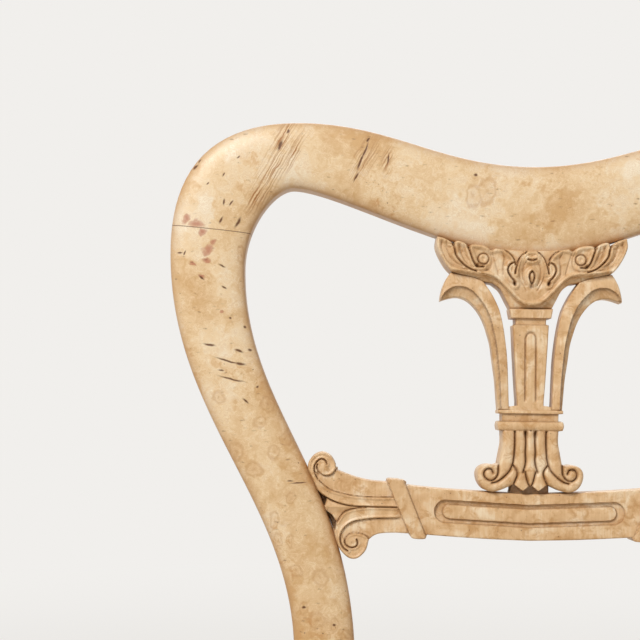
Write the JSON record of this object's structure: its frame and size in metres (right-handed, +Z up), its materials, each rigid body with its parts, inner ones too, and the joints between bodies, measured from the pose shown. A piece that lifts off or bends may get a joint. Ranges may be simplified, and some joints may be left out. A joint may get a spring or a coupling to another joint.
{
  "type": "dining chair",
  "caption": "Wooden side chair: balloon back with carved lyre splat and scrolled cross rail, sabre rear legs, turned front legs, lift-out upholstered seat.",
  "frame": {"origin": "on the floor, under the middle of the chair's outer box", "axes": "+X to the right seen from the front, +Y to the back, +Z up"},
  "size_m": [0.47, 0.5062, 0.868],
  "materials": {
    "burr_wood": "bleached burr wood, wax satin",
    "carved_wood": "carved pale wood, wax satin with dirt in the recesses",
    "beech": "planed, bare",
    "screw_steel": "dull",
    "tack_steel": "blued",
    "jute_webbing": "woven",
    "hessian": "open weave",
    "hair_stuffing": "loose hair",
    "linen_cover": "plain woven"
  },
  "bodies": {
    "chair_frame": {"crest_rail": "burr_wood", "left_stile": "burr_wood", "right_stile": "burr_wood", "front_seat_rail": "burr_wood", "rear_seat_rail": "burr_wood", "left_seat_rail": "burr_wood", "right_seat_rail": "burr_wood", "cross_rail": "carved_wood", "palmette": "carved_wood", "column": "carved_wood", "left_horn": "carved_wood", "right_horn": "carved_wood", "lyre_foot": "carved_wood", "left_front_leg": "carved_wood", "right_front_leg": "carved_wood", "front_left_block": "beech", "front_right_block": "beech", "rear_left_block": "beech", "rear_right_block": "beech", "crest_dowels": "beech", "cross_rail_dowels": "beech", "lyre_dowels": "beech", "horn_pins": "beech", "corner_block_screws": "screw_steel"},
    "lift_out_seat": {"seat_frame_front": "beech", "seat_frame_rear": "beech", "seat_frame_left": "beech", "seat_frame_right": "beech", "webbing_lengthwise": "jute_webbing", "webbing_crosswise": "jute_webbing", "webbing_tacks": "tack_steel", "hessian": "hessian", "stuffing": "hair_stuffing", "seat_cover": "linen_cover", "cover_tacks": "tack_steel"}
  },
  "joints": [
    {"name": "seat_lift", "type": "slide", "parent": "chair_frame", "child": "lift_out_seat", "axis": [0, 0, 1], "range_m": [0, 0.12]}
  ]
}
